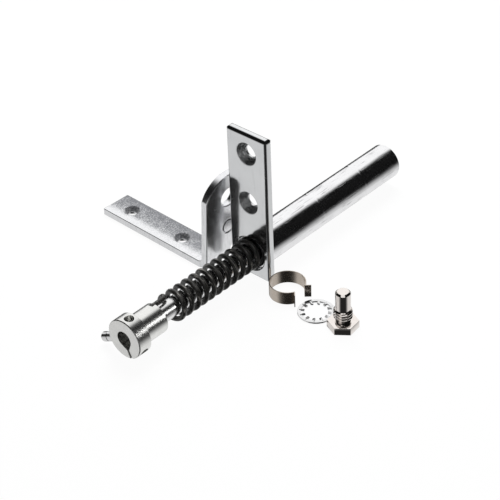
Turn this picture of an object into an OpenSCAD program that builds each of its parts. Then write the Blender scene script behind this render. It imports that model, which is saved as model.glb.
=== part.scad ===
// Spring pivot hinge, with its pivot bracket, pivot bolt, lock washer and tube clip laid out beside it.
// The hinge axis runs along Y. The origin is where that axis crosses the back face of the mounting plate.
// +Y points along the tube, +Z up the plate towards its screws. All sizes are in millimetres.

/* [Mounting plate] */
// Width of the plate
plate_w = 25.4; // [23:0.1:30]
// Height of the plate
plate_h = 84; // [78:0.5:100]
// Thickness of the plate
plate_t = 4.6; // [4.2:0.1:6]
// Rounding of the plate's four corners
plate_corner_r = 2; // [1:0.1:3]
// Rounding along the plate's sides
plate_edge_r = 1.3; // [0.4:0.1:1.6]
// Rounding across the plate's ends
plate_end_r = 2; // [0.4:0.1:2.2]
// Hinge axis above the lower end of the plate
axis_up = 13.2; // [12:0.1:16]
// Upper screw hole below the top of the plate
screw_inset = 11.7; // [9:0.1:14]
// Distance between the two screw holes of the plate
screw_pitch = 28.5; // [20:0.5:32]
// Through hole for a plate screw
screw_hole_d = 6.6; // [5:0.1:7]
// Width of a plate screw's countersink at the face
screw_head_d = 12.8; // [10:0.1:13.5]
// Bevel round the mouth of the tube hole
mouth_bevel = 0.7; // [0.2:0.1:1]

/* [Spring tube] */
// Outside diameter of the tube
tube_od = 19.05; // [18.8:0.05:20]
// Wall of the tube
tube_wall = 1; // [0.8:0.05:1.1]
// Length of the tube behind the plate
tube_reach = 105; // [98:0.5:140]
// Diameter of the tube's shouldered end in the plate
tube_seat_d = 18.4; // [18.1:0.05:18.6]
// Tube end set back from the front of the plate
tube_setback = 2; // [0.5:0.1:3]
// First crimp behind the plate
crimp_at = 43.5; // [40:0.5:50]
// Distance between the two crimps
crimp_gap = 34; // [24:0.5:36]
// Depth of a crimp
crimp_depth = 0.1; // [0.08:0.01:0.3]
// Radius of the rolled crimp groove
crimp_r = 5; // [2:0.1:6]
// Bevel round the far end of the tube
tube_bevel = 0.4; // [0.2:0.1:0.6]

/* [Spindle] */
// Front face of the collar ahead of the plate
collar_reach = 89.4; // [80:0.2:100]
// Diameter of the collar's flange
flange_d = 21; // [19.6:0.1:22.4]
// Length of the collar's flange
flange_len = 8; // [7:0.1:10]
// Diameter of the collar's neck behind the flange
neck_d = 15.8; // [15.4:0.1:16.4]
// Length of the collar's neck
neck_len = 14.2; // [13.6:0.1:20]
// Bevel on the collar's edges
collar_bevel = 0.4; // [0.2:0.1:1]
// Bore for the pivot pin
bore_d = 8.8; // [7.6:0.1:9]
// Depth of the pivot bore
bore_depth = 13; // [11.5:0.5:13.5]
// Direction of the key slot, from +X towards +Z
key_angle = -67; // [-80:1:-55]
// Width of the key slot at the rim
key_w = 1.8; // [1.2:0.1:2.5]
// Depth of the key slot at the rim
key_depth = 0.6; // [0.4:0.1:2]
// Half the part of the bore's circle that the wedge cut opens, as an angle
wedge_half_angle = 40; // [25:1:42]
// Reach of the wedge cut beyond the bore
wedge_reach = 1.3; // [0.8:0.1:2]
// Depth of the wedge cut beside the bore
wedge_depth = 8; // [4:0.5:10]
// Number of winding holes round the flange
winding_holes = 3; // [2:1:3]
// Direction of the first winding hole
winding_angle = 88; // [80:1:95]
// Diameter of the winding pin
winding_pin_d = 4.9; // [4:0.1:5.2]
// Length of the winding pin
winding_pin_len = 14; // [11:0.5:17]
// Depth of a winding hole
winding_depth = 3.8; // [3:0.1:4]
// Diameter of the rod
rod_d = 9.4; // [8.5:0.1:9.6]
// Depth of the rod's socket in the collar
socket_depth = 8; // [6:0.5:8]
// Rod end beyond the anchor plug
rod_tail = 5; // [4:0.5:10]

/* [Torsion spring] */
// Wire diameter
wire_d = 2.6; // [2.2:0.1:3]
// Outside diameter of the coils
coil_od = 16.3; // [16:0.1:16.4]
// Number of turns between the two bends
coil_turns = 19; // [15:1:21]
// Direction of the front tang, from +X towards +Z
tang_angle = 100; // [80:1:120]
// Straight tang in front of the first bend
tang_len = 4.8; // [3:0.1:8]
// Depth of the tang in the collar and in the plug
tang_seat = 2.5; // [2:0.1:4]
// Radius of the bend between tang and coil
bend_r = 4; // [3:0.1:5]

/* [Pivot bracket] */
// Thickness of the bracket
bracket_t = 4; // [3:0.1:5]
// Length of the bracket's leg, over the bend
leg_len = 77.8; // [66:0.1:90]
// Width of the leg
leg_w = 17.5; // [15:0.1:20]
// Leg's outer screw hole from the end of the leg
leg_screw_inset = 13; // [8:0.1:15]
// Distance between the leg's screw holes
leg_screw_pitch = 37.7; // [28:0.1:40]
// Through hole for a leg screw
leg_hole_d = 4.6; // [4:0.1:5]
// Width of a leg screw's countersink at the face
leg_head_d = 8.6; // [7.5:0.1:9.5]
// Width of the tab
tab_w = 31.2; // [28:0.1:36]
// Top of the tab above the underside of the leg, along the tab
tab_top = 53; // [48:0.5:58]
// Radius of the arched top of the tab
tab_arch_r = 16.6; // [16:0.1:30]
// Pivot hole above the underside of the leg, along the tab
tab_hole_up = 39.4; // [36:0.1:42]
// Pivot hole in the tab
tab_hole_d = 10.3; // [9.8:0.1:12]
// Flush rivet in the tab
rivet_d = 7.6; // [6:0.1:9]
// Rivet below the pivot hole
rivet_drop = 18.1; // [15:0.1:20]
// Angle by which the tab is opened past square
fold_open = 3.5; // [0:0.5:5]
// Inner radius of the bend
fold_r = 3; // [2:0.1:4]
// Bracket's outer corner, along X from the hinge axis
bracket_x = -18.5; // [-30:0.1:-16]
// Bracket's front edge, along Y from the back of the plate
bracket_y = -16.9; // [-30:0.1:0]
// Turn of the bracket about Z, as it lies
bracket_turn = -2; // [-10:0.5:0]

/* [Pivot bolt] */
// Diameter of the pivot pin
pin_d = 7.6; // [6.8:0.1:7.6]
// Length of the pivot pin
pin_len = 10.2; // [8:0.1:12]
// Diameter of the thread
thread_d = 9.5; // [8.5:0.1:9.9]
// Length of the thread
thread_len = 5.3; // [3:0.1:8]
// Diameter of the relief under the thread
relief_d = 7.8; // [7:0.1:8.4]
// Length of the relief under the thread
relief_len = 1.9; // [1.5:0.1:5]
// Width across the flats of the head
head_flats = 13.8; // [12.5:0.1:14.4]
// Thickness of the head
head_t = 4; // [2.5:0.1:5]
// Bevel on the end of the pin
pin_bevel = 0.9; // [0.4:0.1:1.4]
// Pitch of the thread, for its end bevels
thread_pitch = 1.5; // [1:0.05:1.6]
// Bolt's axis, along X from the hinge axis
bolt_x = 62.9; // [62.5:0.1:90]
// Bolt's axis, along Y from the back of the plate
bolt_y = -7.8; // [-30:0.1:-4]
// Turn of the head about Z, as it stands
bolt_turn = 7; // [0:1:30]

/* [Lock washer] */
// Outside diameter of the washer
washer_od = 18.8; // [18:0.1:20]
// Width of the plain outer ring
washer_rim = 1.7; // [1.4:0.1:2.4]
// Circle through the tips of the teeth
washer_id = 11.8; // [10.4:0.1:12.4]
// Thickness of the washer
washer_t = 0.8; // [0.6:0.05:1.2]
// Number of teeth
washer_teeth = 12; // [8:1:14]
// Width of a tooth
tooth_w = 1.4; // [1.2:0.1:2]
// Twist of a tooth out of the washer's plane
tooth_twist = 24; // [10:1:30]
// Washer's centre, along X from the hinge axis
washer_x = 45.7; // [45:0.1:60]
// Washer's centre, along Y from the back of the plate
washer_y = -7.5; // [-20:0.1:0]

/* [Tube clip] */
// Inside diameter of the open clip
clip_id = 17.7; // [17:0.1:18.4]
// Thickness of the strip
clip_t = 0.5; // [0.4:0.05:0.8]
// Width of the strip
clip_w = 7.1; // [4:0.1:9]
// Half the angle of the opening
clip_gap = 24; // [12:1:30]
// Length of the turned-out lips
lip_len = 3.2; // [2:0.1:3.5]
// Splay of a lip from the middle of the opening
lip_splay = 45; // [20:1:55]
// Clip's centre, along X from the hinge axis
clip_x = 24.6; // [24:0.1:26]
// Clip's centre, along Y from the back of the plate
clip_y = -4.5; // [-12:0.1:2]
// Direction of the opening, from +X towards +Y
clip_turn = -3; // [-30:1:20]

/* [Hidden] */
$fn = 96;
// Overlap of a cutter past the face it cuts
cut = 1;
// Gap of a fixed seat, such as tube in plate or rod in collar
seat_gap = 0.04;
// Radial running clearance of the rod in the anchor plug
running_gap = 0.06;
// Gap beside the wire in its slots
wire_gap = 0.15;
// Clearance of a flat face that turns past another
side_gap = 0.3;
// Gap between the last coil and the anchor plug
coil_gap = 1.6;
// Bevel round the rivet and round its hole
rivet_bevel = 0.4;
// Step where a bend meets the straight beyond it
bend_step = 0.01;
// Half the included angle of the countersinks
sink_half_angle = 41;
// Retaining ring on the rod's tail: thickness, groove depth, width over the groove and mouth angle
ring_t = 1.2;
ring_groove = 0.8;
ring_land = 2.6;
ring_mouth = 50;
// Floor that the loose pieces lie on
floor_z = -axis_up;
tube_id = tube_od - 2 * tube_wall;
tube_front = -plate_t + tube_setback;
// Bevel at the back of the plate's hole, which leaves a weld groove round the tube's shoulder
weld_bevel = (tube_od - tube_seat_d) / 2 + 2 * seat_gap;
// Half the width of the bead that a crimp raises inside the tube
bead_half = sqrt(crimp_r * crimp_r - (crimp_r - crimp_depth) * (crimp_r - crimp_depth));
plug_front = crimp_at + bead_half + seat_gap;
plug_back = crimp_at + crimp_gap - bead_half - seat_gap;
collar_front = -plate_t - collar_reach;
collar_len = flange_len + neck_len;
collar_rear = collar_front + collar_len;
winding_y = collar_front + flange_len / 2;
rod_front = collar_rear - socket_depth;
rod_end = plug_back + rod_tail;
ring_y = plug_back + side_gap;
// Helix of the spring, worked out on the cylinder through the middle of the wire
coil_r = (coil_od - wire_d) / 2;
tang_start = collar_rear - tang_seat + wire_gap;
tang_end = plug_front + tang_seat - wire_gap;
coil_start = collar_rear + tang_len;
coil_end = plug_front - coil_gap - wire_d / 2;
pitch_angle = atan((coil_end - coil_start - 2 * bend_r) / (coil_turns * 360 * coil_r * PI / 180));
fold_out_r = fold_r + bracket_t;
rivet_up = tab_hole_up - rivet_drop;
washer_lift = tooth_w / 2 * sin(tooth_twist) + washer_t / 2 * cos(tooth_twist);

// Places what is drawn along +Z so that it runs along the hinge axis from y
module along_axis(y) {
    translate([0, y, 0])
        rotate([-90, 0, 0])
            children();
}

// Turns what is drawn along +X about the hinge axis
module at_angle(a) {
    rotate([0, -a, 0])
        children();
}

module rounded_rect(w, h, r) {
    square([w - 2 * r, h], center = true);
    square([w, h - 2 * r], center = true);
    for (x = [-1, 1], y = [-1, 1])
        translate([x * (w / 2 - r), y * (h / 2 - r)])
            circle(r);
}

// Countersunk hole down through a face at z = 0, into a wall of thickness t
module sunk_hole(hole_d, head_d, t) {
    translate([0, 0, -t - cut])
        cylinder(d = hole_d, h = t + 2 * cut);
    sink = (head_d - hole_d) / 2 / tan(sink_half_angle);
    translate([0, 0, -sink])
        cylinder(d1 = hole_d, d2 = head_d, h = sink);
    cylinder(d = head_d, h = cut);
}

module mounting_plate() {
    mid_z = plate_h / 2 - axis_up;
    hole_d = tube_seat_d + 2 * seat_gap;
    color([0.78, 0.79, 0.8])
        difference() {
            intersection() {
                translate([0, 0, mid_z])
                    rotate([90, 0, 0])
                        linear_extrude(plate_t)
                            rounded_rect(plate_w, plate_h, plate_corner_r);
                translate([0, -plate_t / 2, floor_z])
                    linear_extrude(plate_h)
                        rounded_rect(plate_w, plate_t, plate_edge_r);
                translate([-plate_w / 2, -plate_t / 2, mid_z])
                    rotate([90, 0, 90])
                        linear_extrude(plate_w)
                            rounded_rect(plate_t, plate_h, plate_end_r);
            }
            along_axis(-plate_t - cut)
                cylinder(d = hole_d, h = plate_t + 2 * cut);
            along_axis(-plate_t)
                cylinder(d1 = hole_d + 2 * mouth_bevel, d2 = hole_d, h = mouth_bevel);
            along_axis(-weld_bevel)
                cylinder(d1 = hole_d, d2 = hole_d + 2 * weld_bevel, h = weld_bevel);
            for (i = [0, 1])
                translate([0, -plate_t, floor_z + plate_h - screw_inset - i * screw_pitch])
                    rotate([90, 0, 0])
                        sunk_hole(screw_hole_d, screw_head_d, plate_t);
        }
}

// Ring that rolls a crimp into a wall of radius r, as seen in half section
module crimp_section(r) {
    for (y = [crimp_at, crimp_at + crimp_gap])
        translate([r - crimp_depth + crimp_r, y - tube_front])
            circle(crimp_r);
}

module spring_tube() {
    len = tube_reach - tube_front;
    color([0.74, 0.75, 0.77])
        along_axis(tube_front)
            rotate_extrude() {
                difference() {
                    polygon([
                        [tube_id / 2, 0], [tube_seat_d / 2, 0], [tube_seat_d / 2, -tube_front],
                        [tube_od / 2, -tube_front], [tube_od / 2, len - tube_bevel],
                        [tube_od / 2 - tube_bevel, len], [tube_id / 2, len]
                    ]);
                    crimp_section(tube_od / 2);
                }
                intersection() {
                    crimp_section(tube_id / 2);
                    square([tube_id / 2 + tube_wall / 2, len]);
                }
            }
}

// Slot for a spring tang that lies along +Y from y, open to the outside
module tang_slot(y, len) {
    slot_w = wire_d + 2 * wire_gap;
    translate([coil_r, y, 0])
        rotate([-90, 0, 0])
            cylinder(d = slot_w, h = len);
    translate([coil_r, y, -slot_w / 2])
        cube([tube_od, len, slot_w]);
}

module anchor_plug() {
    color([0.62, 0.63, 0.65])
        difference() {
            along_axis(plug_front)
                cylinder(d = tube_id - 2 * seat_gap, h = plug_back - plug_front);
            along_axis(plug_front - cut)
                cylinder(d = rod_d + 2 * running_gap, h = plug_back - plug_front + 2 * cut);
            at_angle(tang_angle + coil_sweep)
                tang_slot(plug_front - cut, tang_seat + cut);
        }
}

module winding_hole(a) {
    at_angle(a)
        translate([flange_d / 2 - winding_depth, winding_y, 0])
            rotate([0, 90, 0])
                cylinder(d = winding_pin_d + 2 * seat_gap, h = winding_depth + cut);
}

// Key slot across the face, with a wedge that widens it towards the bore
module key_slot() {
    wedge_tip = bore_d / 2 + wedge_reach;
    wedge_root = bore_d / 2 * [cos(wedge_half_angle), sin(wedge_half_angle)];
    at_angle(key_angle) {
        translate([0, collar_front + key_depth, -key_w / 2])
            mirror([0, 1, 0])
                cube([flange_d, key_depth + cut, key_w]);
        translate([0, collar_front + wedge_depth, 0])
            rotate([90, 0, 0])
                linear_extrude(wedge_depth + cut)
                    polygon([
                        [wedge_root[0], -wedge_root[1]], [wedge_tip, -key_w / 2],
                        [wedge_tip, key_w / 2], wedge_root
                    ]);
    }
}

module spindle_collar() {
    flange_r = flange_d / 2;
    neck_r = neck_d / 2;
    color([0.8, 0.8, 0.79])
        difference() {
            along_axis(collar_front)
                rotate_extrude()
                    polygon([
                        [0, 0], [flange_r - collar_bevel, 0], [flange_r, collar_bevel],
                        [flange_r, flange_len - collar_bevel], [flange_r - collar_bevel, flange_len],
                        [neck_r, flange_len], [neck_r, collar_len - collar_bevel],
                        [neck_r - collar_bevel, collar_len], [0, collar_len]
                    ]);
            along_axis(collar_front - cut)
                cylinder(d = bore_d, h = bore_depth + cut);
            along_axis(rod_front)
                cylinder(d = rod_d + 2 * seat_gap, h = socket_depth + cut);
            for (i = [0 : winding_holes - 1])
                winding_hole(winding_angle + i * 360 / winding_holes);
            key_slot();
            at_angle(tang_angle)
                tang_slot(collar_rear - tang_seat, tang_seat + cut);
        }
}

module spindle_rod() {
    bevel = rod_d / 12;
    groove_r = rod_d / 2 - ring_groove;
    ring_from = ring_y - rod_front;
    ring_to = ring_from + ring_t + 2 * seat_gap;
    len = rod_end - rod_front;
    color([0.8, 0.81, 0.82])
        along_axis(rod_front)
            rotate_extrude()
                polygon([
                    [0, 0], [rod_d / 2, 0], [rod_d / 2, ring_from], [groove_r, ring_from],
                    [groove_r, ring_to], [rod_d / 2, ring_to], [rod_d / 2, len - bevel],
                    [rod_d / 2 - bevel, len], [0, len]
                ]);
}

module rod_ring() {
    inner_r = rod_d / 2 - ring_groove + seat_gap;
    outer_r = inner_r + ring_land;
    color([0.2, 0.2, 0.21])
        along_axis(ring_y + seat_gap)
            linear_extrude(ring_t)
                difference() {
                    circle(outer_r);
                    circle(inner_r);
                    polygon([
                        [0, 0], [2 * outer_r * cos(ring_mouth), 2 * outer_r * sin(ring_mouth)],
                        [2 * outer_r * cos(ring_mouth), -2 * outer_r * sin(ring_mouth)]
                    ]);
                }
}

module winding_pin() {
    r = winding_pin_d / 2;
    bevel = r / 4;
    groove_at = winding_pin_len - winding_pin_d;
    color([0.72, 0.72, 0.72])
        at_angle(winding_angle + 360 / winding_holes)
            translate([flange_d / 2 - winding_depth + seat_gap, winding_y, 0])
                rotate([0, 90, 0])
                    rotate_extrude()
                        polygon([
                            [0, 0], [r - bevel, 0], [r, bevel], [r, groove_at],
                            [r - bevel / 2, groove_at + bevel / 2], [r, groove_at + bevel],
                            [r, winding_pin_len - bevel], [r - bevel, winding_pin_len], [0, winding_pin_len]
                        ]);
}

// Angle that the wire turns through between the two straight tangs
bend_sweep = bend_r * (1 - sin(pitch_angle)) / coil_r * 180 / PI;
coil_sweep = coil_turns * 360 + 2 * bend_sweep;
bend_rise = bend_r * cos(pitch_angle);
rings_per_turn = 14;
bend_steps = 4;
coil_steps = coil_turns * rings_per_turn;
wire_sides = 8;

// Points of the wire as [angle about the axis, y, slope of the wire away from the circle]
function front_bend(i) =
    let (f = i / bend_steps * (90 - pitch_angle))
    [bend_r * (1 - cos(f)) / coil_r * 180 / PI, coil_start + bend_r * sin(f), 90 - f];
function coil_point(i) =
    let (t = i / coil_steps)
    [bend_sweep + t * coil_turns * 360,
     coil_start + bend_rise + t * (coil_end - coil_start - 2 * bend_rise), pitch_angle];
function back_bend(i) =
    let (p = front_bend(bend_steps - i))
    [coil_sweep - p[0], coil_start + coil_end - p[1], p[2]];
wire_path = concat(
    [[0, tang_start, 90]],
    [for (i = [0 : bend_steps - 1]) front_bend(i)],
    [for (i = [0 : coil_steps]) coil_point(i)],
    [for (i = [1 : bend_steps]) back_bend(i)],
    [[coil_sweep, tang_end, 90]]
);

// One ring of points round the wire, square to it
function wire_ring(p) =
    let (a = tang_angle + p[0], out = [cos(a), 0, sin(a)])
    let (side = [sin(a) * sin(p[2]), cos(p[2]), -cos(a) * sin(p[2])])
    [for (k = [0 : wire_sides - 1])
        let (q = k * 360 / wire_sides)
        coil_r * out + [0, p[1], 0] + wire_d / 2 * (cos(q) * out + sin(q) * side)];

module torsion_spring() {
    rings = len(wire_path);
    points = [for (p = wire_path) each wire_ring(p)];
    walls = [for (i = [0 : rings - 2], k = [0 : wire_sides - 1])
        let (n = (k + 1) % wire_sides)
        [i * wire_sides + k, i * wire_sides + n, (i + 1) * wire_sides + n, (i + 1) * wire_sides + k]];
    first = [for (k = [wire_sides - 1 : -1 : 0]) k];
    last = [for (k = [0 : wire_sides - 1]) (rings - 1) * wire_sides + k];
    color([0.09, 0.09, 0.09])
        polyhedron(points, concat(walls, [first, last]), convexity = 10);
}

// Outline of the tab in the plane of its face: it widens from the leg to an arched top
module tab_outline() {
    near = bend_step;
    foot_w = leg_w - bend_step;
    foot_up = fold_out_r - 4 * bend_step;
    arch_up = tab_top - tab_arch_r;
    polygon([
        [near, foot_up], [foot_w, foot_up], [foot_w, fold_out_r], [tab_w, fold_out_r + tab_w - foot_w],
        [tab_w, arch_up], [near, arch_up]
    ]);
    intersection() {
        translate([tab_w / 2, arch_up])
            circle(tab_arch_r);
        translate([near, arch_up])
            square([tab_w - near, tab_arch_r]);
    }
}

// Section of the leg and the fold, with the outer corner of a square fold at the origin
module fold_section() {
    far = 2 * fold_out_r;
    translate([-leg_len, 0])
        square([leg_len - fold_out_r, bracket_t]);
    translate([-fold_out_r, fold_out_r])
        intersection() {
            difference() {
                circle(fold_out_r);
                circle(fold_r);
            }
            polygon([[0, 0], [0, -far], [far, -far], [far * cos(fold_open), -far * sin(fold_open)]]);
        }
}

// Places the bracket as it lies
module as_bracket_lies() {
    translate([bracket_x, bracket_y, floor_z])
        rotate(bracket_turn)
            children();
}

// Places what is drawn on a square tab's outer face on the opened tab
module on_tab() {
    translate([-fold_out_r, 0, fold_out_r])
        rotate([0, fold_open, 0])
            translate([fold_out_r, 0, -fold_out_r])
                children();
}

// Rod across the tab at height up, from its inner face, with an end of r + bevel at both faces
module tab_cutter(up, r, bevel) {
    translate([-bracket_t, tab_w / 2, up])
        rotate([0, 90, 0])
            rotate_extrude()
                polygon([
                    [0, -cut], [r + bevel, -cut], [r + bevel, 0], [r, bevel], [r, bracket_t - bevel],
                    [r + bevel, bracket_t], [r + bevel, bracket_t + cut], [0, bracket_t + cut]
                ]);
}

module pivot_bracket() {
    color([0.7, 0.71, 0.73])
        as_bracket_lies()
            difference() {
                union() {
                    translate([0, leg_w, 0])
                        rotate([90, 0, 0])
                            linear_extrude(leg_w)
                                fold_section();
                    on_tab()
                        translate([-bracket_t + bend_step, 0, 0])
                            rotate([90, 0, 90])
                                linear_extrude(bracket_t - 2 * bend_step)
                                    tab_outline();
                }
                on_tab() {
                    translate([-bracket_t - cut, tab_w / 2, tab_hole_up])
                        rotate([0, 90, 0])
                            cylinder(d = tab_hole_d, h = bracket_t + 2 * cut);
                    tab_cutter(rivet_up, rivet_d / 2 + seat_gap, rivet_bevel);
                }
                for (i = [0, 1])
                    translate([-leg_len + leg_screw_inset + i * leg_screw_pitch, leg_w / 2, bracket_t])
                        sunk_hole(leg_hole_d, leg_head_d, bracket_t);
            }
}

module bracket_rivet() {
    r = rivet_d / 2;
    color([0.7, 0.71, 0.73])
        as_bracket_lies()
            on_tab()
                translate([-bracket_t, tab_w / 2, rivet_up])
                    rotate([0, 90, 0])
                        rotate_extrude()
                            polygon([
                                [0, 0], [r - rivet_bevel, 0], [r, rivet_bevel], [r, bracket_t - rivet_bevel],
                                [r - rivet_bevel, bracket_t], [0, bracket_t]
                            ]);
}

module pivot_bolt() {
    thread_from = head_t + relief_len;
    pin_from = thread_from + thread_len;
    top = pin_from + pin_len;
    bevel = thread_pitch / 2;
    color([0.72, 0.68, 0.66])
        translate([bolt_x, bolt_y, floor_z])
            rotate(bolt_turn) {
                rotate(30)
                    cylinder(d = head_flats / cos(30), h = head_t, $fn = 6);
                rotate_extrude()
                    polygon([
                        [0, head_t / 2], [relief_d / 2, head_t / 2], [relief_d / 2, thread_from],
                        [thread_d / 2 - bevel, thread_from], [thread_d / 2, thread_from + bevel],
                        [thread_d / 2, pin_from - bevel], [thread_d / 2 - bevel, pin_from],
                        [pin_d / 2, pin_from], [pin_d / 2, top - pin_bevel],
                        [pin_d / 2 - pin_bevel, top], [0, top]
                    ]);
            }
}

module lock_washer() {
    rim_r = washer_od / 2 - washer_rim;
    tooth_len = rim_r - washer_id / 2;
    color([0.8, 0.8, 0.8])
        translate([washer_x, washer_y, floor_z + washer_lift]) {
            translate([0, 0, -washer_t / 2])
                linear_extrude(washer_t)
                    difference() {
                        circle(washer_od / 2);
                        circle(rim_r);
                    }
            for (i = [0 : washer_teeth - 1])
                rotate(i * 360 / washer_teeth)
                    translate([washer_id / 2 + tooth_len / 2 + washer_rim / 4, 0, 0])
                        rotate([tooth_twist, 0, 0])
                            cube([tooth_len + washer_rim / 2, tooth_w, washer_t], center = true);
        }
}

module tube_clip() {
    mid_r = (clip_id + clip_t) / 2;
    far = 2 * clip_id;
    color([0.5, 0.46, 0.42])
        translate([clip_x, clip_y, floor_z])
            rotate(clip_turn)
                linear_extrude(clip_w) {
                    difference() {
                        circle(clip_id / 2 + clip_t);
                        circle(clip_id / 2);
                        polygon([
                            [0, 0], [far * cos(clip_gap), far * sin(clip_gap)],
                            [far * cos(clip_gap), -far * sin(clip_gap)]
                        ]);
                    }
                    for (s = [-1, 1])
                        translate([mid_r * cos(clip_gap), s * mid_r * sin(clip_gap)]) {
                            circle(clip_t / 2 + bend_step);
                            rotate(s * lip_splay)
                                translate([0, -clip_t / 2])
                                    square([lip_len, clip_t]);
                        }
                }
}

mounting_plate();
spring_tube();
anchor_plug();
spindle_collar();
spindle_rod();
rod_ring();
winding_pin();
torsion_spring();
pivot_bracket();
bracket_rivet();
pivot_bolt();
lock_washer();
tube_clip();
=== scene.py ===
import math

import bpy
from mathutils import Matrix, Vector


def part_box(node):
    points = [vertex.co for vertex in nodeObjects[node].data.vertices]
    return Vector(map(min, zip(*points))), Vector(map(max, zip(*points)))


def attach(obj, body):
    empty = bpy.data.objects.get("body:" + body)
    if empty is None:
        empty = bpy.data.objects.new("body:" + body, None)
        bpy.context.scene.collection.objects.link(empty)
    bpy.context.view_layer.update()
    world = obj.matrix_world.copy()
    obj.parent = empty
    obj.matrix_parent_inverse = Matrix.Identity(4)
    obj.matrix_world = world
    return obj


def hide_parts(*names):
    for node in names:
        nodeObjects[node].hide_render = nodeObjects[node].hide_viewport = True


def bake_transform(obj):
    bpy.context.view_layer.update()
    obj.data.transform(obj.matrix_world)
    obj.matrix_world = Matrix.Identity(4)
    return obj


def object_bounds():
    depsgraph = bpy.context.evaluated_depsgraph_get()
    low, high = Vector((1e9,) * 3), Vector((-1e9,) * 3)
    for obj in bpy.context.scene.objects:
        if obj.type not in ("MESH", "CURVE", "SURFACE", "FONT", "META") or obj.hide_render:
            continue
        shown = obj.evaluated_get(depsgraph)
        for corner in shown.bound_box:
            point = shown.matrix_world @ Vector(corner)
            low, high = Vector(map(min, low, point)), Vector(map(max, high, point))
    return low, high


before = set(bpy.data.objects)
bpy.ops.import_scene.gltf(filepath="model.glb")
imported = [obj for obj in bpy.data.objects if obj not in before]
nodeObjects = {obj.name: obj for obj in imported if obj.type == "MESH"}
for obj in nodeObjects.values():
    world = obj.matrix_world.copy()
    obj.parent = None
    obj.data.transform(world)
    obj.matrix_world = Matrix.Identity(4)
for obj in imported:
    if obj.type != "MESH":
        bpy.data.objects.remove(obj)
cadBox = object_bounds()
mm = 0.001
fullTurn = 2 * math.pi
sameSpot = 0.001 * mm
print("frame loaded:", sorted(nodeObjects))


def deselectAll():
    if bpy.context.object and bpy.context.object.mode != "OBJECT":
        bpy.ops.object.mode_set(mode="OBJECT")
    bpy.ops.object.select_all(action="DESELECT")


def activate(piece):
    deselectAll()
    piece.select_set(True)
    bpy.context.view_layer.objects.active = piece


def addObject(name, data):
    piece = bpy.data.objects.new(name, data)
    bpy.context.scene.collection.objects.link(piece)
    return piece


def applyPlace(piece):
    activate(piece)
    bpy.ops.object.transform_apply(location=True, rotation=True, scale=True)


def applyModifier(piece, kind, name, **settings):
    activate(piece)
    modifier = piece.modifiers.new(name, kind)
    for key, value in settings.items():
        setattr(modifier, key, value)
    bpy.ops.object.modifier_apply(modifier=name)


# joins or trims a piece with another, which is used up
def combine(piece, other, how):
    applyModifier(piece, "BOOLEAN", how.lower(), operation=how, solver="EXACT", object=other)
    bpy.data.objects.remove(other)


def editWhole(piece):
    activate(piece)
    bpy.ops.object.mode_set(mode="EDIT")
    bpy.ops.mesh.select_all(action="SELECT")


def leaveEdit():
    bpy.ops.object.mode_set(mode="OBJECT")


def selectEdges(piece, test):
    activate(piece)
    bpy.ops.object.mode_set(mode="EDIT")
    bpy.ops.mesh.select_mode(type="EDGE")
    bpy.ops.mesh.select_all(action="DESELECT")
    leaveEdit()
    points = piece.data.vertices
    for edge in piece.data.edges:
        edge.select = test(points[edge.vertices[0]].co, points[edge.vertices[1]].co)
    bpy.ops.object.mode_set(mode="EDIT")


def tidyMesh(piece, weld):
    editWhole(piece)
    bpy.ops.mesh.remove_doubles(threshold=weld)
    bpy.ops.mesh.normals_make_consistent(inside=False)
    leaveEdit()


def smoothByAngle(piece, degrees):
    activate(piece)
    bpy.ops.object.shade_smooth_by_angle(angle=math.radians(degrees))


# one socket of a node tree, with arithmetic
class Shade:
    bumpDistance = 0.1 * mm
    colourInputs = (6, 7)
    colourOutput = 2

    def __init__(self, tree, socket):
        self.tree = tree
        self.socket = socket

    def node(self, kind, settings, values, out=0):
        made = self.tree.nodes.new(kind)
        for key, value in settings.items():
            setattr(made, key, value)
        for key, value in values.items():
            if isinstance(value, Shade):
                self.tree.links.new(value.socket, made.inputs[key])
            else:
                made.inputs[key].default_value = value
        return Shade(self.tree, made.outputs[out])

    def math(self, operation, left, right):
        return self.node("ShaderNodeMath", {"operation": operation}, {0: left, 1: right})

    def __add__(self, other):
        return self.math("ADD", self, other)

    def __radd__(self, other):
        return self.math("ADD", other, self)

    def __sub__(self, other):
        return self.math("SUBTRACT", self, other)

    def __rsub__(self, other):
        return self.math("SUBTRACT", other, self)

    def __mul__(self, other):
        return self.math("MULTIPLY", self, other)

    def __truediv__(self, other):
        return self.math("DIVIDE", self, other)

    def __pow__(self, other):
        return self.math("POWER", self, other)

    def sine(self):
        return self.math("SINE", self, 0)

    def between(self, low, high):
        settings = {"interpolation_type": "SMOOTHSTEP", "clamp": True}
        values = {"Value": self, "From Min": low, "From Max": high}
        return self.node("ShaderNodeMapRange", settings, values)

    def noise(self, scale, detail=4, roughness=0.55, stretch=(1, 1, 1)):
        along = self.node("ShaderNodeMapping", {}, {"Vector": self, "Scale": stretch})
        values = {"Vector": along, "Scale": scale, "Detail": detail, "Roughness": roughness}
        return self.node("ShaderNodeTexNoise", {}, values)

    def axis(self, name):
        return self.node("ShaderNodeSeparateXYZ", {}, {"Vector": self}, name)

    # mixes two colours, each plain or itself a shade
    def tint(self, low, high):
        values = {"Factor": self}
        for key, colour in zip(self.colourInputs, (low, high)):
            values[key] = colour if isinstance(colour, Shade) else (*colour, 1)
        return self.node("ShaderNodeMix", {"data_type": "RGBA"}, values, self.colourOutput)

    def bump(self):
        values = {"Height": self, "Strength": 1.0, "Distance": self.bumpDistance}
        return self.node("ShaderNodeBump", {}, values)


def newFinish(name):
    material = bpy.data.materials.new(name)
    material.use_nodes = True
    tree = material.node_tree
    shader = tree.nodes["Principled BSDF"]
    place = tree.nodes.new("ShaderNodeTexCoord")
    return material, shader, Shade(tree, place.outputs["Object"])


def feed(shader, **values):
    for key, value in values.items():
        socket = shader.inputs[key.replace("_", " ")]
        if isinstance(value, Shade):
            value.tree.links.new(value.socket, socket)
        else:
            socket.default_value = value


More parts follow.
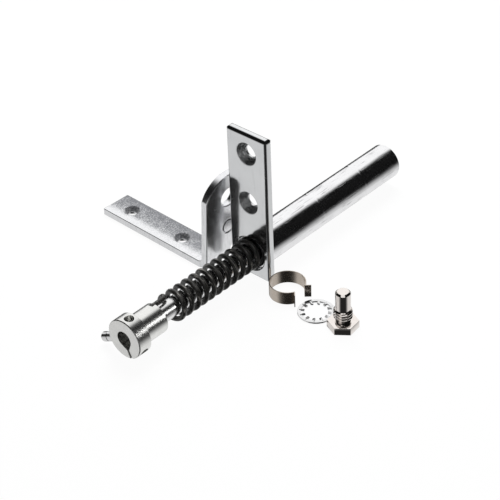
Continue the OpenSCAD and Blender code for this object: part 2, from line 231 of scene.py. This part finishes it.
# detail and roughness of the noises that all plain metals share
metalNoise = {
    "blotchDetail": 5, "scratchDetail": 2, "scratchMix": 0.6, "scratchFrom": (0.56, 0.72),
    "grainDetail": 3, "waveDetail": 1, "waveMix": 0.5, "chatterDetail": 3, "chatterMix": 0.6,
}


# plated or machined metal: soft blotches, fine scratches along one axis, grain in the bump
def metalFinish(name, look, tooled=None):
    n = metalNoise
    material, shader, place = newFinish(name)
    blotch = place.noise(look["blotchScale"], n["blotchDetail"])
    scratch = place.noise(look["scratchScale"], n["scratchDetail"], n["scratchMix"],
                          look["scratchStretch"]).between(*n["scratchFrom"])
    grain = place.noise(look["grainScale"], n["grainDetail"])
    wear = blotch * look["blotch"] + scratch * look["scratch"]
    colour = wear.between(0, 1).tint(look["light"], look["dark"])
    rough = look["rough"] + (blotch - 0.5) * look["roughVary"] + scratch * look["scratchRough"]
    wave = place.noise(look["waveScale"], n["waveDetail"], n["waveMix"], look["waveStretch"])
    height = grain * look["grain"] - scratch * look["scratchDepth"] + wave * look["wave"]
    if tooled:
        cut = tooled(place, look)
        chatter = place.noise(look["chatterScale"], n["chatterDetail"], n["chatterMix"],
                              look["chatterStretch"])
        rough = rough + cut * look["cutRough"]
        height = height + cut * chatter * look["chatter"]
    feed(shader, Base_Color=colour, Metallic=1.0, Roughness=rough, Normal=height.bump())
    return material


plateLook = {
    "light": (0.82, 0.83, 0.84), "dark": (0.6, 0.61, 0.62), "blotchScale": 90, "blotch": 0.5,
    "scratchScale": 260, "scratchStretch": (3, 3, 0.35), "scratch": 0.12, "scratchDepth": 0.02,
    "rough": 0.12, "roughVary": 0.08, "scratchRough": 0.05, "grainScale": 700, "grain": 0.03,
    "waveScale": 60, "waveStretch": (1, 1, 1), "wave": 1.2,
    "holeDrops": (11.7 * mm, 40.2 * mm), "sunkRadius": 6.35 * mm, "sunkEdge": 0.2 * mm,
    "cutRough": 0.08, "chatterScale": 520, "chatterStretch": (1, 2.5, 1), "chatter": 5.0,
}


# where the plate's two countersinks were cut
def sunkHoles(place, look):
    x, z = place.axis("X"), place.axis("Z")
    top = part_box("mounting_plate")[1][2]
    outer = look["sunkRadius"] ** 2
    inner = (look["sunkRadius"] - look["sunkEdge"]) ** 2
    drops = [z - (top - drop) for drop in look["holeDrops"]]
    upper, lower = (1 - (x * x + dz * dz).between(inner, outer) for dz in drops)
    return upper + lower


tubeLook = {
    "light": (0.92, 0.92, 0.93), "dark": (0.45, 0.45, 0.46), "blotchScale": 120, "blotch": 0.35,
    "scratchScale": 300, "scratchStretch": (3.5, 0.3, 3.5), "scratch": 0.6, "scratchDepth": 0.2,
    "rough": 0.16, "roughVary": 0.14, "scratchRough": 0.12, "grainScale": 900, "grain": 0.12,
    "waveScale": 120, "waveStretch": (1, 0.25, 1), "wave": 3.4,
}
boltLook = {
    "light": (0.9, 0.85, 0.81), "dark": (0.52, 0.47, 0.44), "blotchScale": 320, "blotch": 0.4,
    "scratchScale": 500, "scratchStretch": (2, 2, 0.5), "scratch": 0.15, "scratchDepth": 0.02,
    "rough": 0.08, "roughVary": 0.06, "scratchRough": 0.04, "grainScale": 1600, "grain": 0.02,
    "waveScale": 150, "waveStretch": (1, 1, 1), "wave": 0.2,
}
washerLook = {
    "light": (0.86, 0.86, 0.86), "dark": (0.5, 0.5, 0.5), "blotchScale": 420, "blotch": 0.5,
    "scratchScale": 700, "scratchStretch": (1, 1, 1), "scratch": 0.15, "scratchDepth": 0.03,
    "rough": 0.13, "roughVary": 0.1, "scratchRough": 0.05, "grainScale": 1800, "grain": 0.05,
    "waveScale": 200, "waveStretch": (1, 1, 1), "wave": 0.3,
}
clipLook = {
    "light": (0.62, 0.55, 0.48), "dark": (0.34, 0.3, 0.26), "blotchScale": 300, "blotch": 0.45,
    "scratchScale": 500, "scratchStretch": (0.5, 0.5, 7), "scratch": 0.3, "scratchDepth": 0.05,
    "rough": 0.25, "roughVary": 0.1, "scratchRough": 0.06, "grainScale": 1600, "grain": 0.05,
    "waveScale": 200, "waveStretch": (1, 1, 0.2), "wave": 0.3,
}
rodLook = {
    "light": (0.88, 0.88, 0.88), "dark": (0.5, 0.5, 0.5), "blotchScale": 240, "blotch": 0.3,
    "scratchScale": 400, "scratchStretch": (0.6, 5, 0.6), "scratch": 0.25, "scratchDepth": 0.04,
    "rough": 0.26, "roughVary": 0.08, "scratchRough": 0.05, "grainScale": 1400, "grain": 0.04,
    "waveScale": 200, "waveStretch": (1, 1, 1), "wave": 0.2,
}
plugLook = {
    "light": (0.72, 0.73, 0.74), "dark": (0.45, 0.46, 0.47), "blotchScale": 200, "blotch": 0.4,
    "scratchScale": 400, "scratchStretch": (0.5, 5, 0.5), "scratch": 0.25, "scratchDepth": 0.04,
    "rough": 0.3, "roughVary": 0.12, "scratchRough": 0.06, "grainScale": 1300, "grain": 0.06,
    "waveScale": 150, "waveStretch": (1, 1, 1), "wave": 0.1,
}
ringLook = {
    "light": (0.12, 0.12, 0.125), "dark": (0.05, 0.05, 0.052), "blotchScale": 350, "blotch": 0.7,
    "scratchScale": 600, "scratchStretch": (1, 4, 1), "scratch": 0.15, "scratchDepth": 0.03,
    "rough": 0.38, "roughVary": 0.14, "scratchRough": 0.05, "grainScale": 1800, "grain": 0.1,
    "waveScale": 200, "waveStretch": (1, 1, 1), "wave": 0.1,
}

bracketLook = {
    "light": (0.9, 0.905, 0.92), "dark": (0.2, 0.205, 0.22), "skew": -0.035, "cornerX": 18.5 * mm,
    "upFrom": (0.3, 0.6), "frontHighlightFade": (2.2 * mm, 7 * mm), "legTop": (4.5 * mm, 5.5 * mm),
    "legWidth": 18 * mm, "blotchScale": 230, "blotchDetail": 4, "speckleScale": 1300,
    "speckleDetail": 2, "speckleFrom": (0.35, 0.65), "streakScale": 420, "streakDetail": 3,
    "streakMix": 0.6, "streakStretch": (2.5, 2.5, 0.4), "streakFrom": (0.4, 0.7),
    "grainScale": 1500, "grainDetail": 3, "grain": 0.05, "legGrain": 0.1, "waveScale": 70,
    "waveDetail": 1, "wave": 0.15, "legToneWithPaintedShade": 0.08, "legBackShade": 0.3, "legBlotch": 0.55,
    "legSpeckle": 0.4, "tabBlotch": 0.2, "tabStreak": 0.14, "rough": 0.25, "legRough": 0.2,
    "roughVary": 0.12, "legDull": 0.35,
}


# satin plating: the tab is brighter and streaked upwards, the top of the leg duller and speckled; the leg's
# top also carries painted shade, darker towards its back, and a painted highlight along its front edge
def bracketFinish(name, look):
    material, shader, place = newFinish(name)
    x, y, z = place.axis("X"), place.axis("Y"), place.axis("Z")
    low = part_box("pivot_bracket")[0]
    normal = place.node("ShaderNodeNewGeometry", {}, {}, "Normal")
    upward = normal.axis("Z").between(*look["upFrom"])
    across = y - x * look["skew"] - (low[1] + look["skew"] * look["cornerX"])
    # painted highlight: the leg's top keeps the tab's light tone in a band along its front edge, fading out
    # over these distances from that edge
    pastFrontHighlight = across.between(*look["frontHighlightFade"])
    aboveLeg = z.between(*(low[2] + rise for rise in look["legTop"]))
    leg = upward * (1 - aboveLeg) * pastFrontHighlight
    blotch = place.noise(look["blotchScale"], look["blotchDetail"])
    speckle = place.noise(look["speckleScale"], look["speckleDetail"]).between(*look["speckleFrom"])
    streak = place.noise(look["streakScale"], look["streakDetail"], look["streakMix"],
                         look["streakStretch"]).between(*look["streakFrom"])
    grain = place.noise(look["grainScale"], look["grainDetail"])
    wave = place.noise(look["waveScale"], look["waveDetail"])
    # painted shade: the leg's top is darkened as a whole and more towards its back, on top of its real
    # blotches and speckle
    legToneWithPaintedShade = (across.between(0, look["legWidth"]) * look["legBackShade"] + blotch * look["legBlotch"]
               + speckle * look["legSpeckle"] + look["legToneWithPaintedShade"])
    tabTone = blotch * look["tabBlotch"] + streak * look["tabStreak"]
    tone = tabTone + (legToneWithPaintedShade - tabTone) * leg
    colour = tone.between(0, 1).tint(look["light"], look["dark"])
    rough = look["rough"] + leg * look["legRough"] + (blotch - 0.5) * look["roughVary"]
    height = grain * (look["grain"] + leg * look["legGrain"]) + wave * look["wave"]
    metal = 1 - leg * look["legDull"]
    feed(shader, Base_Color=colour, Metallic=metal, Roughness=rough, Normal=height.bump())
    return material


collarLook = {
    "light": (0.95, 0.95, 0.93), "dark": (0.55, 0.55, 0.53), "blotchScale": 260, "blotchDetail": 5,
    "blotch": 0.3, "faceDepth": (0.05 * mm, 0.5 * mm), "faceRough": 0.42, "sideRough": 0.26,
    "roughVary": 0.08, "turnsPerMm": 2.6, "turnHeight": 0.035, "turnTone": 0.07, "sideTurns": 0.5,
    "sideTone": 0.2, "grainScale": 1500, "grainDetail": 3, "grain": 0.1, "sideGrain": 0.15,
}


# the collar's front face is matt with concentric turning marks, its sides are brighter
def collarFinish(name, look):
    material, shader, place = newFinish(name)
    x, y, z = place.axis("X"), place.axis("Y"), place.axis("Z")
    radius = (x * x + z * z) ** 0.5
    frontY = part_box("spindle_collar")[0][1]
    face = 1 - y.between(*(frontY + depth for depth in look["faceDepth"]))
    side = 1 - face
    blotch = place.noise(look["blotchScale"], look["blotchDetail"])
    grain = place.noise(look["grainScale"], look["grainDetail"])
    pace = look["turnsPerMm"] / mm * fullTurn
    marks = (radius * pace).sine() * face + (y * pace).sine() * side * look["sideTurns"]
    tone = blotch * look["blotch"] + marks * look["turnTone"] + side * look["sideTone"]
    rough = (look["sideRough"] + face * (look["faceRough"] - look["sideRough"])
             + (blotch - 0.5) * look["roughVary"])
    grainShare = face * (1 - look["sideGrain"]) + look["sideGrain"]
    height = marks * look["turnHeight"] + grain * grainShare * look["grain"]
    colour = tone.between(0, 1).tint(look["light"], look["dark"])
    feed(shader, Base_Color=colour, Metallic=1.0, Roughness=rough, Normal=height.bump())
    return material


springLook = {
    "dark": (0.01, 0.01, 0.009), "light": (0.026, 0.025, 0.023), "bare": (0.5, 0.48, 0.45),
    "streakScale": 700, "streakDetail": 3, "streakMix": 0.6, "streakStretch": (0.3, 2.6, 0.3),
    "scuffScale": 260, "scuffDetail": 4, "rubbedFrom": (0.55, 0.68), "scuffFrom": (0.4, 0.62),
    "coatFrom": (0.3, 0.75), "rough": 0.3, "roughVary": 0.3, "streakHeight": 0.14,
    "rubbedDepth": 0.05, "bareMetal": 0.9, "gloss": 0.6,
}


# black oiled wire with drawing streaks round the coils, rubbed bright in thin lines
def springFinish(name, look):
    material, shader, place = newFinish(name)
    streak = place.noise(look["streakScale"], look["streakDetail"], look["streakMix"],
                         look["streakStretch"])
    scuff = place.noise(look["scuffScale"], look["scuffDetail"])
    rubbed = streak.between(*look["rubbedFrom"]) * scuff.between(*look["scuffFrom"])
    coat = streak.between(*look["coatFrom"]).tint(look["dark"], look["light"])
    colour = rubbed.tint(coat, look["bare"])
    rough = look["rough"] + (streak - 0.5) * look["roughVary"]
    height = streak * look["streakHeight"] - rubbed * look["rubbedDepth"]
    feed(shader, Base_Color=colour, Metallic=rubbed * look["bareMetal"], Roughness=rough,
         Normal=height.bump(), Specular_IOR_Level=look["gloss"])
    return material


finishes = {
    "mounting_plate": metalFinish("brightPlate", plateLook, sunkHoles),
    "spring_tube": metalFinish("brightTube", tubeLook),
    "anchor_plug": metalFinish("turnedAluminium", plugLook),
    "spindle_collar": collarFinish("turnedCollar", collarLook),
    "spindle_rod": metalFinish("groundRod", rodLook),
    "rod_ring": metalFinish("blackRing", ringLook),
    "winding_pin": metalFinish("brightPin", washerLook),
    "torsion_spring": springFinish("blackWire", springLook),
    "pivot_bracket": bracketFinish("satinBracket", bracketLook),
    "bracket_rivet": bracketFinish("satinRivet", bracketLook),
    "pivot_bolt": metalFinish("warmNickel", boltLook),
    "lock_washer": metalFinish("brightWasher", washerLook),
    "tube_clip": metalFinish("springStrip", clipLook),
}


def dress(piece, material):
    piece.data.materials.clear()
    piece.data.materials.append(material)


for nodeName, material in finishes.items():
    dress(nodeObjects[nodeName], material)
print("finishes on", len(finishes), "nodes")

spring = {
    "wireRadius": 1.3 * mm, "coilRadius": 6.85 * mm, "turns": 19, "tangAngle": 100,
    "bendRadius": 4 * mm, "tangSeat": 2.35 * mm, "tangLength": 4.8 * mm, "backClear": 2.9 * mm,
    "stepsPerTurn": 44, "bendSteps": 10, "frontTangSteps": 4, "backTangSteps": 2, "wireSides": 5,
    "weld": 0.01 * mm, "smooth": 50,
}


# the wire's middle line, worked out on the unrolled cylinder: tang, bend, coils, bend, tang
def springPath(s):
    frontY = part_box("spindle_collar")[1][1]
    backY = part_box("anchor_plug")[0][1]
    coilStart = frontY + s["tangLength"]
    coilEnd = backY - s["backClear"]
    rise = coilEnd - coilStart - 2 * s["bendRadius"]
    slope = math.atan(rise / (s["turns"] * fullTurn * s["coilRadius"]))
    bendAlong = s["bendRadius"] * math.cos(slope)
    bendRound = s["bendRadius"] * (1 - math.sin(slope)) / s["coilRadius"]
    sweep = s["turns"] * fullTurn + 2 * bendRound
    front = []
    for i in range(s["bendSteps"]):
        f = i / s["bendSteps"] * (math.pi / 2 - slope)
        turned = s["bendRadius"] * (1 - math.cos(f)) / s["coilRadius"]
        front.append((turned, coilStart + s["bendRadius"] * math.sin(f)))
    steps = s["turns"] * s["stepsPerTurn"]
    coilLow, coilHigh = coilStart + bendAlong, coilEnd - bendAlong
    coils = [(bendRound + i / steps * s["turns"] * fullTurn, coilLow + i / steps * (coilHigh - coilLow))
             for i in range(steps + 1)]
    back = [(sweep - a, coilStart + coilEnd - y) for a, y in reversed(front)]
    tangFront = [(0, frontY - s["tangSeat"] + i / s["frontTangSteps"] * (s["tangLength"] + s["tangSeat"]))
                 for i in range(s["frontTangSteps"])]
    tangBack = [(sweep, coilEnd + (i + 1) / s["backTangSteps"] * (backY + s["tangSeat"] - coilEnd))
                for i in range(s["backTangSteps"])]
    points = []
    for angle, y in tangFront + front + coils + back + tangBack:
        a = math.radians(s["tangAngle"]) + angle
        points.append((s["coilRadius"] * math.cos(a), y, s["coilRadius"] * math.sin(a)))
    return points


def makeSpring(s):
    points = springPath(s)
    curve = bpy.data.curves.new("springWire", "CURVE")
    curve.dimensions = "3D"
    curve.bevel_depth = s["wireRadius"]
    curve.bevel_resolution = s["wireSides"]
    curve.use_fill_caps = True
    line = curve.splines.new("POLY")
    line.points.add(len(points) - 1)
    for point, place in zip(line.points, points):
        point.co = (*place, 1)
    activate(addObject("springWire", curve))
    bpy.ops.object.convert(target="MESH")
    piece = bpy.context.object
    tidyMesh(piece, s["weld"])
    smoothByAngle(piece, s["smooth"])
    return piece, points


springPiece, springLine = makeSpring(spring)
dress(springPiece, finishes["torsion_spring"])
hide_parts("torsion_spring")
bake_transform(springPiece)
print("spring wire:", len(springPiece.data.polygons), "faces")

bolt = {
    "headFlats": 13.8 * mm, "headHeight": 4 * mm, "headTurn": 7, "headEdge": 0.13 * mm,
    "reliefRadius": 3.9 * mm, "reliefLength": 1.9 * mm, "threadRadius": 4.75 * mm,
    "threadDepth": 0.85 * mm, "threadLength": 5.3 * mm, "pitch": 1.5 * mm, "crest": 0.2,
    "root": 0.15, "sleeveClear": 0.01 * mm, "pinRadius": 3.8 * mm, "pinLength": 10.2 * mm,
    "pinBevel": 0.9 * mm, "pinEdge": 0.12 * mm, "edgeSteps": 2, "sides": 72, "smooth": 25,
}


def addDrum(name, radius, low, high, sides):
    deselectAll()
    bpy.ops.mesh.primitive_cylinder_add(vertices=sides, radius=radius, depth=high - low,
                                        location=(0, 0, (low + high) / 2))
    drum = bpy.context.object
    drum.name = name
    applyPlace(drum)
    return drum


def bevelEnd(drum, height, width, segments):
    selectEdges(drum, lambda a, b: max(abs(a.z - height), abs(b.z - height)) < sameSpot)
    bpy.ops.mesh.bevel(offset=width, segments=segments, affect="EDGES")
    leaveEdit()


# one turn of the thread's outline, screwed up the shank and cut off square at both ends
def makeThread(s, low, high):
    outer, inner, pitch = s["threadRadius"], s["threadRadius"] - s["threadDepth"], s["pitch"]
    flank = (1 - s["crest"] - s["root"]) / 2
    crestLow = s["root"] + flank
    outline = [(inner, 0), (inner, s["root"]), (outer, crestLow), (outer, crestLow + s["crest"]), (inner, 1)]
    corners = [(r, 0, low - pitch + h * pitch) for r, h in outline]
    mesh = bpy.data.meshes.new("boltThread")
    mesh.from_pydata(corners, [(i, i + 1) for i in range(len(corners) - 1)], [])
    thread = addObject("boltThread", mesh)
    turns = math.ceil((high - low) / pitch) + 2
    applyModifier(thread, "SCREW", "turns", axis="Z", angle=fullTurn, screw_offset=pitch,
                  iterations=turns, steps=s["sides"], render_steps=s["sides"],
                  use_merge_vertices=True, merge_threshold=sameSpot)
    tidyMesh(thread, sameSpot)
    for height, way in ((low, 1), (high, -1)):
        editWhole(thread)
        bpy.ops.mesh.bisect(plane_co=(0, 0, height), plane_no=(0, 0, way), use_fill=True, clear_inner=True)
        leaveEdit()
    tidyMesh(thread, sameSpot)
    return thread


def makeBolt(s):
    threadLow = s["headHeight"] + s["reliefLength"]
    threadHigh = threadLow + s["threadLength"]
    top = threadHigh + s["pinLength"]
    head = addDrum("pivotBolt", s["headFlats"] / 2 / math.cos(math.pi / 6), 0, s["headHeight"], 6)
    head.rotation_euler = (0, 0, math.radians(s["headTurn"]))
    applyPlace(head)
    applyModifier(head, "BEVEL", "edges", width=s["headEdge"], segments=s["edgeSteps"], limit_method="ANGLE")
    thread = makeThread(s, threadLow, threadHigh)
    sleeve = addDrum("threadEnds", s["threadRadius"] + s["sleeveClear"], threadLow, threadHigh, s["sides"])
    for height in (threadLow, threadHigh):
        bevelEnd(sleeve, height, s["pitch"] / 2, 1)
    combine(thread, sleeve, "INTERSECT")
    relief = addDrum("boltRelief", s["reliefRadius"], s["headHeight"] / 2, threadLow + s["pitch"], s["sides"])
    pin = addDrum("boltPin", s["pinRadius"], threadLow + s["pitch"] / 2, top, s["sides"])
    bevelEnd(pin, top, s["pinBevel"], 1)
    bevelEnd(pin, top, s["pinEdge"], s["edgeSteps"])
    for part in (relief, thread, pin):
        combine(head, part, "UNION")
    low, high = (Vector(corner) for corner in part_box("pivot_bolt"))
    head.location = ((low.x + high.x) / 2, (low.y + high.y) / 2, low.z)
    applyPlace(head)
    tidyMesh(head, sameSpot)
    smoothByAngle(head, s["smooth"])
    return head


boltPiece = makeBolt(bolt)
dress(boltPiece, finishes["pivot_bolt"])
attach(boltPiece, "hinge_body")
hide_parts("pivot_bolt")
print("bolt:", len(boltPiece.data.polygons), "faces")

copies = {
    "pivot_bracket": {
        "name": "pivotBracket", "slot": "bracket", "weld": 0.06 * mm, "edge": 0.5 * mm,
        "edgeSteps": 3, "edgeAngle": 38, "smooth": 35, "clamp": False,
    },
    "tube_clip": {
        "name": "tubeClip", "slot": "clip", "weld": 0.03 * mm, "edge": 0.1 * mm,
        "edgeSteps": 2, "edgeAngle": 50, "smooth": 40, "clamp": True,
    },
    "lock_washer": {
        "name": "lockWasher", "slot": "washer", "weld": 0.002 * mm, "edge": 0.08 * mm,
        "edgeSteps": 2, "edgeAngle": 50, "smooth": 40, "clamp": True,
    },
}
flattenAngle = 0.5
flatWeight = 80


# a CAD node's mesh as a piece of its own, merged, with its edges rounded and its flats kept flat
def roundedCopy(node, s):
    piece = addObject(s["name"], nodeObjects[node].data.copy())
    editWhole(piece)
    bpy.ops.mesh.remove_doubles(threshold=s["weld"])
    bpy.ops.mesh.dissolve_limited(angle_limit=math.radians(flattenAngle))
    leaveEdit()
    applyModifier(piece, "BEVEL", "edges", width=s["edge"], segments=s["edgeSteps"], limit_method="ANGLE",
                  angle_limit=math.radians(s["edgeAngle"]), use_clamp_overlap=s["clamp"])
    smoothByAngle(piece, s["smooth"])
    applyModifier(piece, "WEIGHTED_NORMAL", "flats", keep_sharp=True, weight=flatWeight)
    return piece


for nodeName, s in copies.items():
    piece = roundedCopy(nodeName, s)
    dress(piece, finishes[nodeName])
    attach(piece, "hinge_body")
    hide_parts(nodeName)
    print(s["name"], len(piece.data.polygons), "faces")

# camera and studio
shot = {
    "azimuth": 43.084, "elevation": 35.858, "roll": -2.298, "distance": 0.9019, "lens": 129.62,
    "sensor": 36, "nearest": 0.01, "target": (0.00011, -0.0046, 0.00214),
}


def placeCamera(s):
    a, e, r = (math.radians(s[key]) for key in ("azimuth", "elevation", "roll"))
    back = Vector((math.sin(a) * math.cos(e), -math.cos(a) * math.cos(e), math.sin(e)))
    right = Vector((math.cos(a), math.sin(a), 0))
    up = back.cross(right)
    rolledRight = right * math.cos(r) + up * math.sin(r)
    rolledUp = up * math.cos(r) - right * math.sin(r)
    data = bpy.data.cameras.new("photoCamera")
    data.lens = s["lens"]
    data.sensor_width = s["sensor"]
    data.clip_start = s["nearest"]
    camera = addObject("photoCamera", data)
    turn = Matrix((rolledRight, rolledUp, back)).transposed().to_4x4()
    camera.matrix_world = Matrix.Translation(Vector(s["target"]) + back * s["distance"]) @ turn
    bpy.context.scene.camera = camera


placeCamera(shot)
bpy.context.scene.view_settings.view_transform = "Standard"

floorLook = {
    "size": 4.0, "drop": 0.05 * mm, "colour": (0.82, 0.82, 0.82), "cloudShade": 0.97,
    "cloudScale": 3, "cloudDetail": 2, "rough": 0.9, "gloss": 0.1, "whiteShare": 0.95,
}


# white to the camera apart from a share that takes the shadow; metal sees the studio instead
def makeFloor(look):
    deselectAll()
    bpy.ops.mesh.primitive_plane_add(size=look["size"], location=(0, 0, cadBox[0][2] - look["drop"]))
    floor = bpy.context.object
    floor.name = "studioFloor"
    applyPlace(floor)
    floor.visible_glossy = False
    material, shader, place = newFinish("paleFloor")
    tree = material.node_tree
    shaded = tuple(c * look["cloudShade"] for c in look["colour"])
    cloud = place.noise(look["cloudScale"], look["cloudDetail"]).tint(look["colour"], shaded)
    feed(shader, Base_Color=cloud, Roughness=look["rough"], Specular_IOR_Level=look["gloss"])
    rays = place.node("ShaderNodeLightPath", {}, {}, "Is Camera Ray")
    white = place.node("ShaderNodeEmission", {}, {"Color": (1, 1, 1, 1), "Strength": 1.0})
    lit = Shade(tree, shader.outputs[0])
    mixed = place.node("ShaderNodeMixShader", {}, {0: rays * look["whiteShare"], 1: lit, 2: white})
    tree.links.new(mixed.socket, tree.nodes["Material Output"].inputs["Surface"])
    dress(floor, material)


makeFloor(floorLook)

# all ranges are parts of a direction's x, y and z
studioLook = {
    "bright": 1.05, "dim": 0.005, "brightX": (0.2, -0.14), "brightY": (-0.25, 0.2),
    "horizon": (-0.03, 0.05), "pale": 0.7, "paleBack": 0.14, "paleY": (0.1, 0.5),
    "paleRise": (0.02, 0.42), "rightRise": (0.03, 0.75), "rightX": (0, 0.4), "rightY": (-0.1, 0.3),
    "openSide": (0.683, -0.731), "openFrom": (0.25, 0.85), "openShade": 0.98,
    "farLeft": 0.9, "farLeftX": (-0.3, -0.5), "farLeftY": (0.1, 0.4), "roomLight": 0.35,
    "card": 0.66, "cardSide": 0.08, "cardX": (-0.5, -0.2), "cardY": (0.3, -0.1),
    "cardRight": (0.45, 0.15), "cardLow": (-0.48, -0.37), "cardHigh": (0.45, 0.2), "least": 0.0001,
}


# white to the camera; for the metal a soft wall at the back left, a pale table below and a dark room elsewhere
def makeStudio(look):
    world = bpy.data.worlds.new("studio")
    bpy.context.scene.world = world
    world.use_nodes = True
    tree = world.node_tree
    ground = tree.nodes["Background"]
    place = Shade(tree, tree.nodes.new("ShaderNodeTexCoord").outputs["Generated"])
    x, y, z = place.axis("X"), place.axis("Y"), place.axis("Z")
    wall = x.between(*look["brightX"]) * y.between(*look["brightY"])
    high = wall * (look["bright"] - look["dim"]) + look["dim"]
    level = (x * x + y * y) ** 0.5 + look["least"]
    towards = x * look["openSide"][0] + y * look["openSide"][1]
    openSide = (towards / level).between(*look["openFrom"])
    farLeft = y.between(*look["farLeftY"]) * x.between(*look["farLeftX"])
    pale = look["pale"] + y.between(*look["paleY"]) * look["paleBack"]
    right = x.between(*look["rightX"]) * y.between(*look["rightY"])
    down = 0 - z
    rise = down.between(*look["paleRise"]) * (1 - right) + down.between(*look["rightRise"]) * right
    table = pale * rise * (1 - openSide * look["openShade"]) * (1 - farLeft * look["farLeft"])
    above = z.between(*look["horizon"])
    glow = above * high + (1 - above) * (table + look["dim"])
    # a low card in front, which the photograph's view hardly shows
    front = y.between(*look["cardY"]) * x.between(*look["cardX"])
    front = front * z.between(*look["cardLow"]) * z.between(*look["cardHigh"])
    card = front * (x.between(*look["cardRight"]) * look["card"] + look["cardSide"])
    glow = glow.math("MAXIMUM", glow, card)
    camera, glossy, through = (place.node("ShaderNodeLightPath", {}, {}, kind)
                               for kind in ("Is Camera Ray", "Is Glossy Ray", "Is Transmission Ray"))
    mirrored = (glossy + through).between(0, 1)
    strength = camera + (1 - camera) * (mirrored * glow + (1 - mirrored) * look["roomLight"])
    feed(ground, Color=(1, 1, 1, 1), Strength=strength)


makeStudio(studioLook)

lampLooks = [
    {"name": "topSoftbox", "place": (-0.25, 0.3, 0.75), "aim": (0, 0, 0), "size": (0.5, 0.5),
     "power": 9, "shownBy": ()},
    {"name": "sideSoftbox", "place": (0.9, 0.2, 0.6), "aim": (0, 0, 0), "size": (0.4, 0.4),
     "power": 1.2, "shownBy": ()},
    {"name": "glintStrip", "place": (0.254, 0.165, 0.123), "aim": (0, -0.05, 0), "size": (0.09, 0.1),
     "power": 0.15, "shownBy": ("spindle_collar", "spindle_rod")},
    {"name": "overheadStrip", "place": (0.187, -0.2, 0.752), "aim": (0, 0, 0), "size": (0.62, 0.62),
     "power": 1.1, "shownBy": ("pivotBolt", "springWire")},
]


# a lamp either lights the matt surfaces or is seen in the metal of the pieces that show it
def makeLamp(look):
    data = bpy.data.lights.new(look["name"], "AREA")
    data.shape = "RECTANGLE"
    data.size, data.size_y = look["size"]
    data.energy = look["power"]
    lamp = addObject(look["name"], data)
    lamp.location = look["place"]
    aim = Vector(look["aim"]) - Vector(look["place"])
    lamp.rotation_euler = aim.to_track_quat("-Z", "Y").to_euler()
    seen = bool(look["shownBy"])
    lamp.visible_camera = False
    lamp.visible_glossy = seen
    lamp.visible_diffuse = not seen
    if seen:
        shown = bpy.data.collections.new(look["name"] + "Shown")
        for name in look["shownBy"]:
            shown.objects.link(nodeObjects.get(name) or bpy.data.objects[name])
        lamp.light_linking.receiver_collection = shown


for lampLook in lampLooks:
    makeLamp(lampLook)
print("studio ready")
